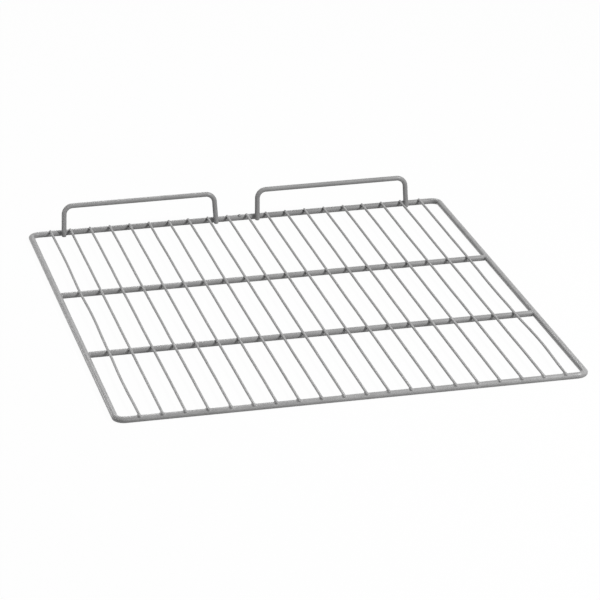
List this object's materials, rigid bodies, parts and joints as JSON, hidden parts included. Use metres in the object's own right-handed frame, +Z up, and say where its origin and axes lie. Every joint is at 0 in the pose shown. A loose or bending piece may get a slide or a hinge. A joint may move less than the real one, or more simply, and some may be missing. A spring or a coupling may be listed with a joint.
{
  "type": "coated wire shelf",
  "caption": "Flat grey coated wire shelf: a bent rod frame with cross bars, close deck wires from front to back, and raised loops on the rear edge that keep goods off the back wall.",
  "frame": {"origin": "under the middle of the shelf, on the plane that the underside of the frame rests on", "axes": "+X to the right seen from the front, +Y to the rear edge with the back stops, +Z up"},
  "size_m": [0.53, 0.6502, 0.043],
  "materials": {
    "grey_coating": "satin grey plastic coating over steel"
  },
  "bodies": {
    "root": {"perimeter_frame": "grey_coating", "cross_bar_rear": "grey_coating", "cross_bar_front": "grey_coating", "deck_wire_01": "grey_coating", "deck_wire_02": "grey_coating", "deck_wire_03": "grey_coating", "deck_wire_04": "grey_coating", "deck_wire_05": "grey_coating", "deck_wire_06": "grey_coating", "deck_wire_07": "grey_coating", "deck_wire_08": "grey_coating", "deck_wire_09": "grey_coating", "deck_wire_10": "grey_coating", "deck_wire_11": "grey_coating", "deck_wire_12": "grey_coating", "deck_wire_13": "grey_coating", "deck_wire_14": "grey_coating", "deck_wire_15": "grey_coating", "deck_wire_16": "grey_coating", "deck_wire_17": "grey_coating", "deck_wire_18": "grey_coating", "deck_wire_19": "grey_coating", "deck_wire_20": "grey_coating", "back_stop_left": "grey_coating", "back_stop_right": "grey_coating"}
  },
  "joints": []
}
